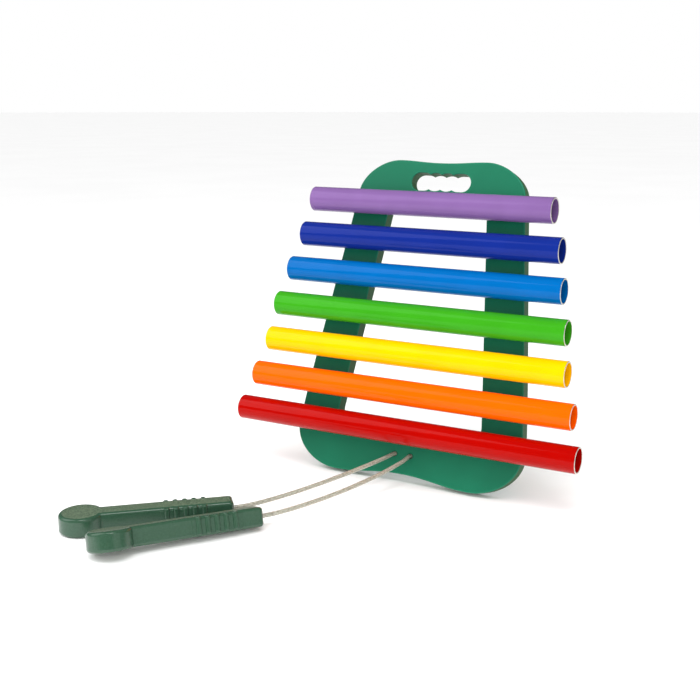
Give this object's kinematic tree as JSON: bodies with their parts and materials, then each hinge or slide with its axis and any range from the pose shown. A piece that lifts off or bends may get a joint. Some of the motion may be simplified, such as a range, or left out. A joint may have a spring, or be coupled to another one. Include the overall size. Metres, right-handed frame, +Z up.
{
  "type": "tube xylophone",
  "caption": "Outdoor xylophone of coloured horizontal tubes, tuned by length, on a leaning green plastic panel, with mallets tethered by short steel cables.",
  "frame": {"origin": "on the panel's flat back face, in the middle of the bar between the hand slot and the window, where the leaning panel is propped or fastened", "axes": "+X along the tubes to the player's right, -Y towards the player, +Z up; the panel leans back 17 degrees about X and the ground is 0.304 m below the origin"},
  "size_m": [0.443, 0.4428, 0.349],
  "materials": {
    "green_panel": "satin",
    "red_coat": "gloss",
    "orange_coat": "gloss",
    "yellow_coat": "gloss",
    "green_coat": "gloss",
    "blue_coat": "gloss",
    "indigo_coat": "gloss",
    "violet_coat": "gloss",
    "black_rubber": "matte",
    "zinc_steel": "satin",
    "crimped_aluminium": "satin",
    "steel_cable": "satin",
    "grey_green_mallet": "satin"
  },
  "bodies": {
    "frame": {"panel_plate": "green_panel", "tube_1_red": "red_coat", "tube_2_orange": "orange_coat", "tube_3_yellow": "yellow_coat", "tube_4_green": "green_coat", "tube_5_blue": "blue_coat", "tube_6_indigo": "indigo_coat", "tube_7_violet": "violet_coat", "spacer_1_left": "black_rubber", "spacer_1_right": "black_rubber", "spacer_2_left": "black_rubber", "spacer_2_right": "black_rubber", "spacer_3_left": "black_rubber", "spacer_3_right": "black_rubber", "spacer_4_left": "black_rubber", "spacer_4_right": "black_rubber", "spacer_5_left": "black_rubber", "spacer_5_right": "black_rubber", "spacer_6_left": "black_rubber", "spacer_6_right": "black_rubber", "spacer_7_left": "black_rubber", "spacer_7_right": "black_rubber", "screw_1_left": "zinc_steel", "screw_1_right": "zinc_steel", "screw_2_left": "zinc_steel", "screw_2_right": "zinc_steel", "screw_3_left": "zinc_steel", "screw_3_right": "zinc_steel", "screw_4_left": "zinc_steel", "screw_4_right": "zinc_steel", "screw_5_left": "zinc_steel", "screw_5_right": "zinc_steel", "screw_6_left": "zinc_steel", "screw_6_right": "zinc_steel", "screw_7_left": "zinc_steel", "screw_7_right": "zinc_steel", "insert_1_left": "zinc_steel", "insert_1_right": "zinc_steel", "insert_2_left": "zinc_steel", "insert_2_right": "zinc_steel", "insert_3_left": "zinc_steel", "insert_3_right": "zinc_steel", "insert_4_left": "zinc_steel", "insert_4_right": "zinc_steel", "insert_5_left": "zinc_steel", "insert_5_right": "zinc_steel", "insert_6_left": "zinc_steel", "insert_6_right": "zinc_steel", "insert_7_left": "zinc_steel", "insert_7_right": "zinc_steel", "stop_washer_a": "zinc_steel", "stop_sleeve_a": "crimped_aluminium", "stop_washer_b": "zinc_steel", "stop_sleeve_b": "crimped_aluminium"},
    "rope_a": {"cable_a": "steel_cable"},
    "mallet_a": {"mallet_a": "grey_green_mallet", "handle_ferrule_a": "crimped_aluminium"},
    "rope_b": {"cable_b": "steel_cable"},
    "mallet_b": {"mallet_b": "grey_green_mallet", "handle_ferrule_b": "crimped_aluminium"}
  },
  "joints": [
    {"name": "cable_a_lift", "type": "hinge", "parent": "frame", "child": "rope_a", "pos_m": [-0.0096, -0.10012, -0.27274], "axis": [-0.8253, 0.4861, -0.2874], "range_deg": [0, 60], "deforming": ["cable_a"]},
    {"name": "mallet_a_wrist", "type": "hinge", "parent": "rope_a", "child": "mallet_a", "pos_m": [-0.10412, -0.27877, -0.29259], "axis": [-0.6559, 0.7549, 0], "range_deg": [0, 45]},
    {"name": "cable_b_lift", "type": "hinge", "parent": "frame", "child": "rope_b", "pos_m": [0.0096, -0.10012, -0.27274], "axis": [-0.9012, 0.3244, 0.2873], "range_deg": [0, 60], "deforming": ["cable_b"]},
    {"name": "mallet_b_wrist", "type": "hinge", "parent": "rope_b", "child": "mallet_b", "pos_m": [-0.06682, -0.28518, -0.29242], "axis": [-0.816, 0.578, 0], "range_deg": [0, 45]}
  ]
}
